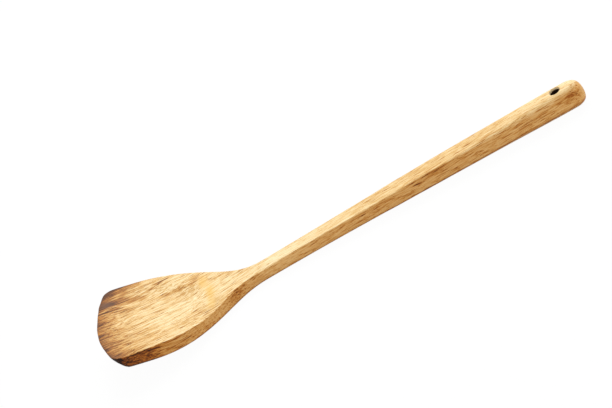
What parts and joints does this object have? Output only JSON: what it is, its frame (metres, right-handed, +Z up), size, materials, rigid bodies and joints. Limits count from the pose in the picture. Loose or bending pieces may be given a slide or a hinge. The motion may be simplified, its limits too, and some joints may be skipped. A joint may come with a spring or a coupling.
{
  "type": "wooden turner",
  "caption": "Long wooden turner carved in one piece: a flat, slightly dished and upturned blade with a bowed tip on a tapering handle that is bored for hanging.",
  "frame": {"origin": "centre of the footprint, on the surface that the turner rests on", "axes": "+X from the blade's tip to the handle's end, +Y across the blade, +Z up"},
  "size_m": [0.3628, 0.085, 0.0287],
  "materials": {
    "wood": "smooth sanded and oiled hardwood with a satin sheen, pale honey with fine brown streaks and a darker tip"
  },
  "bodies": {
    "root": {"turner": "wood"}
  },
  "joints": []
}
